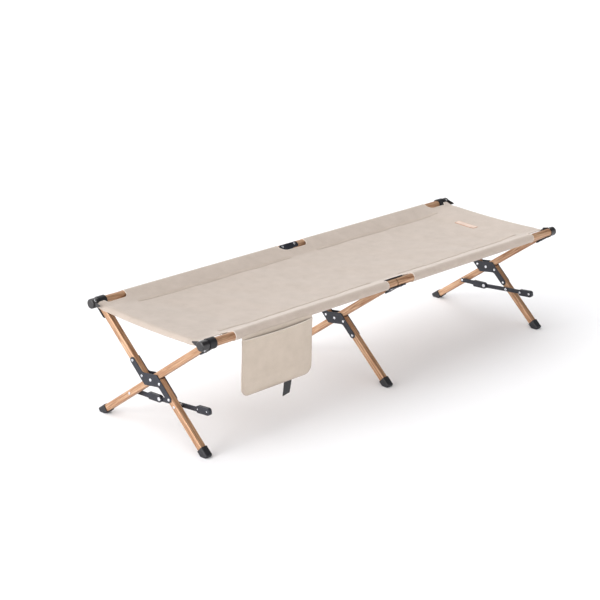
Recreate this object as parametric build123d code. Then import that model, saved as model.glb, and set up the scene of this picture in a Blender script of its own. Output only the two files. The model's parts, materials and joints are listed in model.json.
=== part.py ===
from build123d import *
import math
import os

# Folding camp cot: two side rails carried by three scissor leg frames.
# X runs along the cot, Y across it (rear side positive), Z up. The feet stand on Z = 0.
# Each leg frame has one straight leg (front rail to rear foot) and one split leg
# (rear rail to front foot) whose halves pass on either side of the straight one when folded.

# --- driving dimensions, mm ---
RAIL_SPACING = 540.0        # between the two rail axes
RAIL_HEIGHT = 400.0         # rail axis above the floor
PIVOT_HEIGHT = 197.0        # scissor pivot above the floor
FRAME_X = 902.0             # end leg frames from the middle one
RAIL_END = 941.0            # half the rail length
RAIL_R, RAIL_WALL = 15.0, 1.6
RAIL_GAP = 2.0              # half the gap where the rail halves meet
LEG_DEPTH, LEG_WIDTH, LEG_WALL = 25.0, 22.0, 1.6
SPLIT_LEG_WIDTH = 23.0      # the split leg fills the plates, the straight one runs between them
LEG_OFFSET = 27.0           # each half of the split leg from the pivot
FOLD_DEG = 96.0             # how far the scissor closes
PLATE_T = 2.5
ARM_RIVET, BODY_RIVET, SPLIT_END = 97.0, 34.0, 24.0
ARM_END, PLATE_ARM = 108.0, 23.0
PLATE_NECK, PLATE_SHOULDER = 40.0, 5.0   # corners of the plate body, along the leg from the pivot
LEG_TOP = 20.0              # leg tube ends this far from the rail axis
FOOT_TOP, TONGUE_TOP, TUBE_START, FOOT_WALL = 34.0, 54.0, 24.0, 2.7   # up the leg from the floor
END_RIVET_Z, END_RIVET_LEG, HINGE_RIVET_LEG = 32.0, 44.0, 46.0
LINK_PIVOT, LEVER_PIVOT = 138.0, 128.0   # along the legs from the scissor pivot
LOCK_DROP = 2.5             # the knee stands this far past the straight line
GRIP_START, GRIP_END = 70.0, 134.0       # along the lever, past its leg pivot
GRIP_WIDTH, GRIP_DEPTH = 25.0, 9.0
CHANNEL_BACK, CHANNEL_FRONT, CHANNEL_WIDTH = 54.0, 12.5, 25.0   # knee channel, about the knee pin
GRIP_RIVETS = (77.0, 121.0)
HINGE_HALF, HINGE_RIVET = 47.0, 31.0     # mid rail hinge plates
HINGE_FACE = (15.4, 18.4)                # inner and outer face of a hinge plate, from the rail axis
HINGE_WIDTH, HINGE_DROP = 22.0, 3.0      # the plate's bridge, set down the leg from the rail axis
CLEVIS_IN, CLEVIS_OUT = 12.7, 17.0       # the plates above and below a leg top
CLEVIS_HALF, CLEVIS_LENGTH = 13.0, 58.0
HUB_R, HUB_IN, HUB_OUT = 19.5, 15.5, 14.0    # bracket hub round the rail
CAP_R, CAP_START, CAP_T = 17.3, 917.0, 6.0   # rail end cap: its skirt starts at CAP_START
FIN_T, FIN_FRONT, FIN_REAR = 1.6, 938.2, 940.4   # the cap's fin beside the canvas corner
SLEEVE_END = 800.0          # canvas sleeves run from the end notches
SLEEVE_GAP = (-50.0, 90.0)  # to the notch at the middle hinge
SLEEVE_IN, SLEEVE_OUT = 15.3, 16.5
SHEET_END, SHEET_T = 937.5, 1.2
SHEET_NOTCH_Y = 234.0       # half width of the sheet where it is notched
POCKET_X0, POCKET_X1 = -775.0, -445.0
POCKET_TOP, POCKET_MOUTH, POCKET_BOTTOM = 385.0, 377.0, 184.0
POCKET_BACK, POCKET_DEPTH, CLOTH_T = 286.6, 12.4, 1.2
SWING_Y, SWING_Z = -286.0, 388.0         # seam the pocket swings on
STRAP_X0, STRAP_X1, STRAP_BOTTOM, STRAP_T = -570.0, -533.0, 133.0, 1.6
LABEL_X, LABEL_Y, LABEL_LENGTH, LABEL_WIDTH = 782.0, 31.0, 98.0, 28.0
RIVET_R, PIN_R, FIT = 2.5, 3.0, 0.1

# --- the leg lines in the Y-Z plane, angles from +Y towards +Z ---
REACH = math.hypot(RAIL_SPACING / 2, RAIL_HEIGHT - PIVOT_HEIGHT)
LEAN = math.degrees(math.atan2(RAIL_HEIGHT - PIVOT_HEIGHT, RAIL_SPACING / 2))
STRAIGHT_DEG = 180 - LEAN
SPLIT_DEG = LEAN + math.degrees(math.asin(LEG_OFFSET / REACH))
SPLIT_REACH = math.sqrt(REACH ** 2 - LEG_OFFSET ** 2)


def leg_plane(angle, x):
    """Frame on a leg: local x runs up the leg, local z is the cot's X."""
    turn = math.radians(angle)
    return Plane(origin=(x, 0, PIVOT_HEIGHT), x_dir=(0, math.cos(turn), math.sin(turn)), z_dir=(1, 0, 0))


def point_on(angle, along, across=0.0):
    """(y, z) of a point along a leg from the pivot and across it."""
    turn = math.radians(angle)
    y = along * math.cos(turn) - across * math.sin(turn)
    z = along * math.sin(turn) + across * math.cos(turn)
    return y, PIVOT_HEIGHT + z


def turned(point, degrees):
    """A (y, z) point turned about the scissor pivot."""
    turn = math.radians(degrees)
    y, z = point[0], point[1] - PIVOT_HEIGHT
    return (y * math.cos(turn) - z * math.sin(turn), PIVOT_HEIGHT + y * math.sin(turn) + z * math.cos(turn))


# --- the lever knee ---
LINK_PIN = point_on(STRAIGHT_DEG, -LINK_PIVOT)
LEVER_PIN = point_on(SPLIT_DEG, -LEVER_PIVOT, LEG_OFFSET)
KNEE_SHARE = 0.52
KNEE = (LINK_PIN[0] + KNEE_SHARE * (LEVER_PIN[0] - LINK_PIN[0]),
        LINK_PIN[1] + KNEE_SHARE * (LEVER_PIN[1] - LINK_PIN[1]) - LOCK_DROP)
LINK_LENGTH = math.dist(LINK_PIN, KNEE)
LEVER_LENGTH = math.dist(KNEE, LEVER_PIN)


def heading(start, end):
    return math.degrees(math.atan2(end[1] - start[1], end[0] - start[0])) % 360


def folded_knee():
    """The knee with the scissor closed: up beside the pivot."""
    far = turned(LEVER_PIN, FOLD_DEG)
    span = math.dist(LINK_PIN, far)
    cosine = (LINK_LENGTH ** 2 + span ** 2 - LEVER_LENGTH ** 2) / (2 * LINK_LENGTH * span)
    corner = math.degrees(math.acos(cosine))
    turn = math.radians(heading(LINK_PIN, far) - corner)
    knee = (LINK_PIN[0] + LINK_LENGTH * math.cos(turn), LINK_PIN[1] + LINK_LENGTH * math.sin(turn))
    return knee, far


FOLDED_KNEE, FOLDED_PIN = folded_knee()
LINK_TURN = heading(LINK_PIN, FOLDED_KNEE) - heading(LINK_PIN, KNEE)
LEVER_TURN = heading(FOLDED_KNEE, FOLDED_PIN) - heading(KNEE, LEVER_PIN)

nodes = {}


# --- small shapes ---
def on_leg(angle, x, shape):
    return leg_plane(angle, x).location * shape


def bar(start, end, across, low, high, width):
    """Flat bar in a leg frame: from start to end, centred across, from low to high, square ends."""
    return Pos((start + end) / 2, across, (low + high) / 2) * Box(end - start, width, high - low)


def disc(along, across, low, high, radius):
    """Cylinder in a leg frame, along the cot's X."""
    return Pos(along, across, (low + high) / 2) * Cylinder(radius, high - low)


def cross_disc(along, low, high, z, radius, across=0.0):
    """Cylinder in a leg frame, along the frame's local y."""
    return Pos(along, across + (low + high) / 2, z) * Rot(90, 0, 0) * Cylinder(radius, high - low)


def head(along, across, z, outward, radius=5.0, height=1.8):
    """Domed rivet head on a face at z, rising outward."""
    dome = disc(along, across, *sorted((z, z + outward * height)), radius)
    rim = dome.edges().filter_by(GeomType.CIRCLE).sort_by(Axis.Z)[-1 if outward > 0 else 0]
    return fillet(rim, height * 0.8)


def cross_rivet(along, across, reach, z, radius=4.5, height=1.6):
    """Rivet across a leg frame, with a head outside each plate."""
    shank = cross_disc(along, -reach, reach, z, RIVET_R, across)
    heads = [cross_disc(along, *sorted((side * reach, side * (reach + height))), z, radius, across)
             for side in (-1, 1)]
    heads = [chamfer(h.edges().filter_by(GeomType.CIRCLE).sort_by(Axis.Y)[-1 if side > 0 else 0],
                     height * 0.6)
             for h, side in zip(heads, (-1, 1))]
    return shank + heads[0] + heads[1]


def tube(start, end, across, width):
    """Leg tube with a shallow groove down its upper and lower faces."""
    inner = RectangleRounded(LEG_DEPTH - 2 * LEG_WALL, width - 2 * LEG_WALL, 2.2)
    section = RectangleRounded(LEG_DEPTH, width, 3.8) - inner
    for side in (-1, 1):
        section -= Pos(side * LEG_DEPTH / 2, 0) * Rectangle(1.4, 4.0)
    return Pos(start, across, 0) * extrude(Plane.YZ * section, amount=end - start)


def rail(x0, x1):
    """Round rail tube with ten flutes."""
    section = Circle(RAIL_R)
    for k in range(10):
        section -= Rot(0, 0, 36 * k + 18) * Pos(RAIL_R + 0.5, 0) * Circle(1.3)
    section -= Circle(RAIL_R - RAIL_WALL)
    return Pos(x0, 0, 0) * extrude(Plane.YZ * section, amount=x1 - x0)


def ring(x0, x1, inner, outer):
    return Pos(x0, 0, 0) * extrude(Plane.YZ * (Circle(outer) - Circle(inner)), amount=x1 - x0)


def foot_cut(angle, across):
    """Where a leg axis meets the floor, measured along the leg."""
    turn = math.radians(angle)
    return (-PIVOT_HEIGHT - across * math.cos(turn)) / math.sin(turn)


def above_floor():
    height = 2 * RAIL_HEIGHT
    return Pos(0, 0, height / 2) * Box(3 * RAIL_END, 2 * RAIL_SPACING, height)


def foot_cap(angle, x, across, width):
    """Moulded foot: a sleeve on the tube's end, a tongue on its underside, cut flat on the floor."""
    floor = foot_cut(angle, across)
    body = bar(floor - 4, floor + FOOT_TOP, across, -width / 2 - FOOT_WALL, width / 2 + FOOT_WALL,
               LEG_DEPTH + 2 * FOOT_WALL)
    body = fillet(body.edges().filter_by(Axis.X), 5.0)
    body = fillet(body.faces().sort_by(Axis.X)[0].edges(), 4.5)
    below = -1 if math.cos(math.radians(angle)) > 0 else 1
    tongue = bar(floor + 20, floor + TONGUE_TOP, across + below * (LEG_DEPTH / 2 + 1.3), -6, 6, 2.4)
    socket = tube_core(floor + TUBE_START - 1, floor + TONGUE_TOP + 8, across, width)
    return on_leg(angle, x, body + tongue - socket) & above_floor()


def tube_core(start, end, across, width):
    """Space that a leg tube fills, with a little room round it."""
    section = RectangleRounded(LEG_DEPTH + 0.2, width + 0.2, 3.8)
    return Pos(start, across, 0) * extrude(Plane.YZ * section, amount=end - start)


def leg_holes(shape, spots, radius):
    for along, across in spots:
        shape -= disc(along, across, -20, 20, radius)
    return shape


# --- brackets where legs meet rails, in a leg frame ---
def end_bracket(reach, across, side, wrapped):
    """Clevis on the leg top with a hub round the rail; side is +1 at the right-hand end."""
    low, high = sorted((-side * HUB_IN, side * HUB_OUT))
    hub = disc(reach, across, low, high, HUB_R)
    if not wrapped:
        hub -= bar(reach + 3, reach + 30, across, low - 1, high + 1, 60)
    cheeks = bar(reach - CLEVIS_LENGTH, reach + 3, across, -CLEVIS_HALF, CLEVIS_HALF, 2 * CLEVIS_OUT)
    cheeks = fillet(cheeks.edges().filter_by(Axis.Y).sort_by(Axis.X)[:2], 8.0)
    cheeks -= bar(reach - CLEVIS_LENGTH - 5, reach - 13, across, -30, 30, 2 * CLEVIS_IN)
    body = cheeks + hub - disc(reach, across, -80, 80, RAIL_R + 0.2)
    return body - end_rivets(reach, across, side, FIT)


def end_rivets(reach, across, side, extra=0.0):
    """Rivets of an end bracket and its cap; with extra, the holes they pass through."""
    group = None
    for along, z, hold in ((reach, side * END_RIVET_Z, CAP_R), (reach - END_RIVET_LEG, 0.0, CLEVIS_OUT)):
        item = cross_disc(along, -40, 40, z, RIVET_R + extra, across) if extra else \
            cross_rivet(along, across, hold, z)
        group = item if group is None else group + item
    return group


def hinge_plates(reach, across):
    """Two T-shaped plates that join the rail halves and hold the middle leg."""
    plates = None
    for side in (-1, 1):
        low, high = sorted((side * HINGE_FACE[0], side * HINGE_FACE[1]))
        bridge = Box(HINGE_WIDTH, high - low, 2 * HINGE_HALF)
        bridge = Pos(reach - HINGE_DROP, across + (low + high) / 2, 0) * bridge
        bridge = fillet(bridge.edges().filter_by(Axis.Y), 9.0)
        low, high = sorted((side * CLEVIS_IN, side * HINGE_FACE[1]))
        tab = Pos(reach - 33, across + (low + high) / 2, 0) * Box(50, high - low, 26)
        tab = fillet(tab.edges().filter_by(Axis.Y).sort_by(Axis.X)[:2], 8.0)
        plate = bridge + tab - disc(reach, across, -60, 60, RAIL_R + 0.2)
        plates = plate if plates is None else plates + plate
    return plates - hinge_rivets(reach, across, FIT)


def hinge_rivets(reach, across, extra=0.0):
    group = None
    for along, z in ((reach, -HINGE_RIVET), (reach, HINGE_RIVET), (reach - HINGE_RIVET_LEG, 0.0)):
        item = cross_disc(along, -40, 40, z, RIVET_R + extra, across) if extra else \
            cross_rivet(along, across, HINGE_FACE[1], z)
        group = item if group is None else group + item
    return group


def end_cap(side, inboard):
    """Cap on a rail's end: a skirt round the tube, a spigot in it and a fin beside the canvas corner.

    inboard is +1 on the front rail and -1 on the rear one.
    """
    low, high = sorted((side * (RAIL_END + 0.3), side * (RAIL_END + 0.3 + CAP_T)))
    dome = Pos((low + high) / 2, 0, 0) * Rot(0, 90, 0) * Cylinder(CAP_R, CAP_T)
    dome = fillet(dome.edges().filter_by(GeomType.CIRCLE).sort_by(Axis.X)[-1 if side > 0 else 0], 4.0)
    low, high = sorted((side * CAP_START, side * (RAIL_END + 0.5)))
    cap = dome + ring(low, high, RAIL_R + 0.15, CAP_R)
    low, high = sorted((side * (RAIL_END - 12), side * (RAIL_END + 0.5)))
    cap += Pos((low + high) / 2, 0, 0) * Rot(0, 90, 0) * Cylinder(RAIL_R - RAIL_WALL - 0.2, high - low)
    start = FIN_FRONT if inboard > 0 else FIN_REAR
    low, high = sorted((side * start, side * (start + FIN_T)))
    corners = [(inboard * y, z) for y, z in ((8, 14.5), (43, 5.5), (45, 1.5), (8, -14.5))]
    fin = Pos(low, 0, 0) * extrude(Plane.YZ * Polygon(*corners, align=None), amount=FIN_T, dir=(1, 0, 0))
    bore = Pos((low + high) / 2, 0, 0) * Rot(0, 90, 0) * Cylinder(RAIL_R + 0.15, 3 * FIN_T)
    return cap + (fin - bore)


# --- the two sides ---
def rail_side(name, angle, reach, across, y):
    """Rails, brackets, hinge plates, caps and sleeves of one side."""
    place = Pos(0, y, RAIL_HEIGHT)
    for label, side in (("left", -1), ("right", 1)):
        low, high = sorted((side * RAIL_GAP, side * RAIL_END))
        tube_ = place * rail(low, high)
        tube_ -= on_leg(angle, side * FRAME_X, end_rivets(reach, across, side, FIT))
        tube_ -= on_leg(angle, 0, hinge_rivets(reach, across, FIT))
        nodes[f"{name}_rail_{label}"] = tube_
        wrapped = not (name == "front" and side > 0)
        nodes[f"{name}_bracket_{label}"] = on_leg(
            angle, side * FRAME_X, end_bracket(reach, across, side, wrapped))
        cap = place * end_cap(side, 1 if y < 0 else -1)
        nodes[f"{name}_cap_{label}"] = cap - on_leg(
            angle, side * FRAME_X, end_rivets(reach, across, side, FIT))
        low, high = (-SLEEVE_END, SLEEVE_GAP[0]) if side < 0 else (SLEEVE_GAP[1], SLEEVE_END)
        nodes[f"{name}_sleeve_{label}"] = place * ring(low, high, SLEEVE_IN, SLEEVE_OUT)
    nodes[f"{name}_hinge_plates"] = on_leg(angle, 0, hinge_plates(reach, across))
    nodes[f"{name}_hinge_rivets"] = on_leg(angle, 0, hinge_rivets(reach, across))
    nodes[f"{name}_bracket_rivets"] = Compound(
        [s for side in (-1, 1) for s in on_leg(
            angle, side * FRAME_X, end_rivets(reach, across, side)).solids()])


def top_holes(shape, reach, across, x):
    """Cross hole at the leg's top for its bracket or hinge rivet."""
    along = reach - (HINGE_RIVET_LEG if x == 0 else END_RIVET_LEG)
    return shape - cross_disc(along, -40, 40, 0, RIVET_R + FIT, across)


FRAMES = (("left", -FRAME_X, 1), ("middle", 0.0, 0), ("right", FRAME_X, -1))


def straight_leg(label, x, inner):
    floor = foot_cut(STRAIGHT_DEG, 0)
    leg = tube(floor + TUBE_START, REACH - LEG_TOP, 0, LEG_WIDTH)
    leg = top_holes(leg, REACH, 0, x)
    spots = [(0, 0)] + ([(-LINK_PIVOT, 0)] if inner else [])
    leg = leg_holes(leg, spots, PIN_R + FIT)
    nodes[f"straight_leg_{label}"] = on_leg(STRAIGHT_DEG, x, leg)
    nodes[f"rear_foot_{label}"] = foot_cap(STRAIGHT_DEG, x, 0, LEG_WIDTH)


def split_leg(label, x, inner):
    floor = foot_cut(SPLIT_DEG, LEG_OFFSET)
    upper = tube(SPLIT_END, SPLIT_REACH - LEG_TOP, -LEG_OFFSET, SPLIT_LEG_WIDTH)
    upper = top_holes(upper, SPLIT_REACH, -LEG_OFFSET, x)
    upper = leg_holes(upper, [(BODY_RIVET, -LEG_OFFSET), (ARM_RIVET, -LEG_OFFSET)], RIVET_R + FIT)
    lower = tube(floor + TUBE_START, -SPLIT_END, LEG_OFFSET, SPLIT_LEG_WIDTH)
    lower = leg_holes(lower, [(-BODY_RIVET, LEG_OFFSET), (-ARM_RIVET, LEG_OFFSET)], RIVET_R + FIT)
    if inner:
        lower = leg_holes(lower, [(-LEVER_PIVOT, LEG_OFFSET)], PIN_R + FIT)
    nodes[f"split_leg_upper_{label}"] = on_leg(SPLIT_DEG, x, upper)
    nodes[f"split_leg_lower_{label}"] = on_leg(SPLIT_DEG, x, lower)
    nodes[f"front_foot_{label}"] = foot_cap(SPLIT_DEG, x, LEG_OFFSET, SPLIT_LEG_WIDTH)


def plate_outline():
    """Z-shaped plate: an arm on each half of the split leg, joined by a slanting body over the pivot."""
    near, far = LEG_OFFSET - PLATE_ARM / 2, LEG_OFFSET + PLATE_ARM / 2
    half = [(ARM_END, -near), (PLATE_NECK, -near), (-PLATE_SHOULDER, far + 1)]
    corners = [(x, y) for x, y in half] + [(-ARM_END, far)]
    corners += [(-x, -y) for x, y in half] + [(ARM_END, -far)]
    shape = Polygon(*corners, align=None)
    tips = [v for v in shape.vertices() if abs(abs(v.X) - ARM_END) < 1e-3]
    shape = fillet(tips, PLATE_ARM / 2 - 0.5)
    necks = [v for v in shape.vertices() if abs(abs(v.X) - PLATE_NECK) < 1e-3]
    shape = fillet(necks, 14.0)
    shoulders = [v for v in shape.vertices() if abs(abs(v.X) - PLATE_SHOULDER) < 1e-3]
    return fillet(shoulders, 7.0)


def plate_spots():
    return [(ARM_RIVET, -LEG_OFFSET), (BODY_RIVET, -LEG_OFFSET),
            (-BODY_RIVET, LEG_OFFSET), (-ARM_RIVET, LEG_OFFSET)]


def cross_plates(label, x):
    face = SPLIT_LEG_WIDTH / 2
    plates = []
    for side in (-1, 1):
        low = face if side > 0 else -face - PLATE_T
        plate = Pos(0, 0, low) * extrude(plate_outline(), amount=PLATE_T)
        plate = leg_holes(plate, plate_spots(), RIVET_R + FIT)
        plate = leg_holes(plate, [(0, 0)], PIN_R + FIT)
        plates += on_leg(SPLIT_DEG, x, plate).solids()
    nodes[f"cross_plates_{label}"] = Compound(plates)


def plate_rivets():
    face = SPLIT_LEG_WIDTH / 2 + PLATE_T
    group = []
    for _, x, _ in FRAMES:
        for along, across in plate_spots():
            rivet = disc(along, across, -face, face, RIVET_R)
            rivet = rivet + head(along, across, face, 1) + head(along, across, -face, -1)
            group += on_leg(SPLIT_DEG, x, rivet).solids()
    nodes["plate_rivets"] = Compound(group)


def scissor_pins():
    face = SPLIT_LEG_WIDTH / 2 + PLATE_T + 0.3
    group = []
    for _, x, _ in FRAMES:
        pin = disc(0, 0, -face, face, PIN_R) + head(0, 0, face, 1, 5.5) + head(0, 0, -face, -1, 5.5)
        group += on_leg(STRAIGHT_DEG, x, pin).solids()
    nodes["scissor_pins"] = Compound(group)


# --- lever knees on the inner side of the end frames ---
LINK_LOW, LINK_HIGH = 18.5, 21.5      # layer of the link, from the frame's middle plane
LEVER_LOW, LEVER_HIGH = 22.0, 25.0    # layer of the lever
CHANNEL_TOP = 29.0                    # the channel closes over the lever


def knee_plane(point, degrees, x):
    turn = math.radians(degrees)
    return Plane(origin=(x, point[0], point[1]), x_dir=(0, math.cos(turn), math.sin(turn)), z_dir=(1, 0, 0))


def layer(inner, low, high):
    """Low and high of a layer on the frame's inner side."""
    return sorted((inner * low, inner * high))


def strip(length, width):
    """Flat bar outline with round ends, from 0 to length."""
    return Pos(length / 2, 0) * SlotOverall(length + width, width)


def slab(sketch, inner, low, high):
    low, high = layer(inner, low, high)
    return Pos(0, 0, low) * extrude(sketch, amount=high - low)


def knee_link(label, x, inner):
    """Flat link from the straight leg, ending in a channel round the knee; its web is on top."""
    place = knee_plane(LINK_PIN, heading(LINK_PIN, KNEE), x).location
    end = LINK_LENGTH
    # the link points from the rear leg towards -Y, so its upper side is local -y
    start, stop = end - CHANNEL_BACK, end + CHANNEL_FRONT
    outline = Pos((start + stop) / 2, 0) * RectangleRounded(stop - start, CHANNEL_WIDTH, 4)
    outline += Pos(end, 0) * Circle(CHANNEL_WIDTH / 2)
    corners = Pos(stop, 0) * Rectangle(2 * CHANNEL_FRONT, 2 * CHANNEL_WIDTH)
    outline -= corners - Pos(end, 0) * Circle(CHANNEL_WIDTH / 2)
    web = Pos((start + end) / 2, 1.3 - CHANNEL_WIDTH / 2) * Rectangle(end - start - 8, 2.6)
    web = slab(web, inner, LINK_LOW, CHANNEL_TOP)
    back = slab(outline, inner, LINK_LOW, LINK_HIGH)
    cheek = slab(outline, inner, LEVER_HIGH + 0.5, CHANNEL_TOP)
    body = slab(strip(end, 17), inner, LINK_LOW, LINK_HIGH) + back + cheek + web
    for along in (0, end):
        body -= disc(along, 0, -40, 40, PIN_R + FIT)
    nodes[f"knee_link_{label}"] = place * body
    low, high = layer(inner, LINK_LOW, CHANNEL_TOP)
    pin = disc(end, 0, low, high, PIN_R)
    pin += head(end, 0, high, 1, 7.0, 1.6) + head(end, 0, low, -1, 7.0, 1.6)
    nodes[f"knee_pin_{label}"] = place * pin


def knee_lever(label, x, inner):
    """Flat lever from the knee, over the split leg, to its grip."""
    place = knee_plane(KNEE, heading(KNEE, LEVER_PIN), x).location
    reach = LEVER_LENGTH
    flat = slab(strip(reach + GRIP_END - 8, 16), inner, LEVER_LOW, LEVER_HIGH)
    flat -= disc(0, 0, -40, 40, PIN_R + FIT)
    for along in GRIP_RIVETS:
        flat -= disc(reach + along, 0, -40, 40, RIVET_R + FIT)
    flat -= disc(reach, 0, -40, 40, PIN_R + FIT)
    nodes[f"knee_lever_{label}"] = place * flat
    length = GRIP_END - GRIP_START
    outline = Pos(reach + GRIP_START + length / 2, 0) * RectangleRounded(length, GRIP_WIDTH, 9.5)
    grip = slab(outline, inner, LEVER_LOW, LEVER_HIGH + GRIP_DEPTH)
    grip -= slab(strip(reach + GRIP_END - 8, 16.2), inner, LEVER_LOW - 5, LEVER_HIGH + 0.05)
    for along in GRIP_RIVETS:
        grip -= disc(reach + along, 0, -60, 60, RIVET_R + FIT)
    nodes[f"lever_grip_{label}"] = place * grip
    top = inner * (LEVER_HIGH + GRIP_DEPTH)
    low, high = layer(inner, LEVER_LOW, LEVER_HIGH + GRIP_DEPTH)
    rivets = []
    for along in GRIP_RIVETS:
        rivet = disc(reach + along, 0, low, high, RIVET_R) + head(reach + along, 0, top, inner, 4.5)
        rivets += rivet.solids()
    low, high = layer(inner, LEVER_LOW + 0.2, LEVER_HIGH)
    stub = disc(reach, 0, low, high, PIN_R) + head(reach, 0, inner * LEVER_HIGH, inner, 5.5)
    rivets += stub.solids()
    nodes[f"lever_rivets_{label}"] = place * Compound(rivets)


def studs(point, angle, width, top, with_head):
    """Stud through a leg with a spacing collar on the inner side, for both end frames."""
    group = []
    for _, x, inner in FRAMES:
        if not inner:
            continue
        place = knee_plane(point, angle, x).location
        face = width / 2 + 0.1
        low, high = layer(inner, -face, top + (0.3 if with_head else 0))
        stud = disc(0, 0, low, high, PIN_R)
        low, high = layer(inner, face, LINK_LOW - 0.3 if with_head else top)
        stud += disc(0, 0, low, high, 7.0)
        stud += head(0, 0, -inner * face, -inner, 5.0)
        if with_head:
            stud += head(0, 0, inner * (top + 0.3), inner, 5.0, 1.2)
        group += (place * stud).solids()
    return Compound(group)


# --- canvas ---
def canvas_sheet():
    """Sleeping surface between the sleeves, notched round the brackets and middle hinges."""
    wide = RAIL_SPACING / 2 - SLEEVE_OUT - 0.6
    outline = Rectangle(2 * SHEET_END, 2 * SHEET_NOTCH_Y)
    for low, high in ((-SLEEVE_END, SLEEVE_GAP[0]), (SLEEVE_GAP[1], SLEEVE_END)):
        outline += Pos((low + high) / 2, 0) * Rectangle(high - low, 2 * wide)
    return Pos(0, 0, RAIL_HEIGHT - SHEET_T / 2) * extrude(outline, amount=SHEET_T)


def label_patch():
    patch = extrude(RectangleRounded(LABEL_WIDTH, LABEL_LENGTH, 3), amount=1.0)
    return Pos(LABEL_X, LABEL_Y, RAIL_HEIGHT + SHEET_T / 2) * patch


def pocket_outline(inset, top):
    """Pocket outline in the X-Z plane, with round lower corners."""
    width = POCKET_X1 - POCKET_X0 - 2 * inset
    height = top - POCKET_BOTTOM - inset
    shape = Pos((POCKET_X0 + POCKET_X1) / 2, POCKET_BOTTOM + inset + height / 2) * Rectangle(width, height)
    return fillet(shape.vertices().sort_by(Axis.Y)[:2], 30 - inset)


def pocket_bag():
    """Back and front panels joined at the sides and bottom, open at the top."""
    back = extrude(Plane.XZ * pocket_outline(0, POCKET_TOP), amount=CLOTH_T)
    body = extrude(Plane.XZ * pocket_outline(0, POCKET_MOUTH), amount=POCKET_DEPTH)
    room = extrude(Plane.XZ * pocket_outline(CLOTH_T, POCKET_MOUTH + 20), amount=POCKET_DEPTH - 2 * CLOTH_T)
    return Pos(0, -POCKET_BACK, 0) * (body - Pos(0, -CLOTH_T, 0) * room + back)


def pocket_strap():
    width, height = STRAP_X1 - STRAP_X0, POCKET_BOTTOM + 14 - STRAP_BOTTOM
    place = Pos((STRAP_X0 + STRAP_X1) / 2, STRAP_T / 2 - POCKET_BACK, STRAP_BOTTOM + height / 2)
    return place * Box(width, STRAP_T, height)


rail_side("front", STRAIGHT_DEG, REACH, 0.0, -RAIL_SPACING / 2)
rail_side("rear", SPLIT_DEG, SPLIT_REACH, -LEG_OFFSET, RAIL_SPACING / 2)
for frame_label, frame_x, frame_inner in FRAMES:
    straight_leg(frame_label, frame_x, frame_inner)
    split_leg(frame_label, frame_x, frame_inner)
    cross_plates(frame_label, frame_x)
    if frame_inner:
        knee_link(frame_label, frame_x, frame_inner)
        knee_lever(frame_label, frame_x, frame_inner)
plate_rivets()
scissor_pins()
nodes["link_studs"] = studs(LINK_PIN, STRAIGHT_DEG, LEG_WIDTH, LINK_HIGH, True)
nodes["lever_studs"] = studs(LEVER_PIN, SPLIT_DEG, SPLIT_LEG_WIDTH, LEVER_LOW - 0.3, False)
nodes["canvas_sheet"] = canvas_sheet()
nodes["label_patch"] = label_patch()
nodes["pocket_bag"] = pocket_bag()
nodes["pocket_strap"] = pocket_strap()

# the finished cot's origin is on the floor under the middle of its outline
boxes = [shape.bounding_box() for shape in nodes.values()]
SHIFT_X = -(min(b.min.X for b in boxes) + max(b.max.X for b in boxes)) / 2
SHIFT_Y = -(min(b.min.Y for b in boxes) + max(b.max.Y for b in boxes)) / 2

if __name__ == "__main__":
    os.makedirs("parts", exist_ok=True)
    for node_name, shape in nodes.items():
        export_step(Pos(SHIFT_X, SHIFT_Y, 0) * shape, f"parts/{node_name}.step")
    print(len(nodes), "nodes, shift", round(SHIFT_X, 3), round(SHIFT_Y, 3))
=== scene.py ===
import json
import math

import bmesh
import bpy
import numpy as np
from mathutils import Matrix, Vector


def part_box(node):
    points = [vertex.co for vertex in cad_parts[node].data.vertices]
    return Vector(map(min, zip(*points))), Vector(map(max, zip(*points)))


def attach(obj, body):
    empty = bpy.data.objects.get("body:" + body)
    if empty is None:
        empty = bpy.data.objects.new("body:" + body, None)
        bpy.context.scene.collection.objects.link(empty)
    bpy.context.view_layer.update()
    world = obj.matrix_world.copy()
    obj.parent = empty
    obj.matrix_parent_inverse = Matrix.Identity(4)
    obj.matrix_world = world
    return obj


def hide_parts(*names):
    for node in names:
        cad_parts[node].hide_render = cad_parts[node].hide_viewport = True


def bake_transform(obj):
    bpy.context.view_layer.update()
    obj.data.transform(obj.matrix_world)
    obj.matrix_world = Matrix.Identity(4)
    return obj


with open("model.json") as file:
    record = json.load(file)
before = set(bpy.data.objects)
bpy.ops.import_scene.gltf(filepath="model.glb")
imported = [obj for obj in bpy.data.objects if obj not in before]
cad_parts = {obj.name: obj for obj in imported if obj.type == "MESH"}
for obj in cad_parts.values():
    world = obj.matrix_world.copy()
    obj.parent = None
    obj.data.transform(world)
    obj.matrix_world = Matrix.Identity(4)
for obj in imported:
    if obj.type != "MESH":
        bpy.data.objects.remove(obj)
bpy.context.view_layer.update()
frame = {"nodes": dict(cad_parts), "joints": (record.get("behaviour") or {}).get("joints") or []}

MM = 0.001

# --- places, from the frame ---
RAIL_LOW, RAIL_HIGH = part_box("front_rail_left")
REAR_LOW, REAR_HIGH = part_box("rear_rail_left")
FRONT_Y = (RAIL_LOW[1] + RAIL_HIGH[1]) / 2
REAR_Y = (REAR_LOW[1] + REAR_HIGH[1]) / 2
MID_Y = (FRONT_Y + REAR_Y) / 2
RAIL_Z = (RAIL_LOW[2] + RAIL_HIGH[2]) / 2
RAIL_R = (RAIL_HIGH[1] - RAIL_LOW[1]) / 2
SLEEVE_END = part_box("front_sleeve_right")[1][0]
GAP_LOW, GAP_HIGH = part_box("front_sleeve_left")[1][0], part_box("front_sleeve_right")[0][0]
SHEET_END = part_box("canvas_sheet")[1][0]
BAG_LOW, BAG_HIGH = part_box("pocket_bag")
STRAP_LOW, STRAP_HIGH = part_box("pocket_strap")
LABEL_LOW, LABEL_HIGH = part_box("label_patch")
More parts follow.
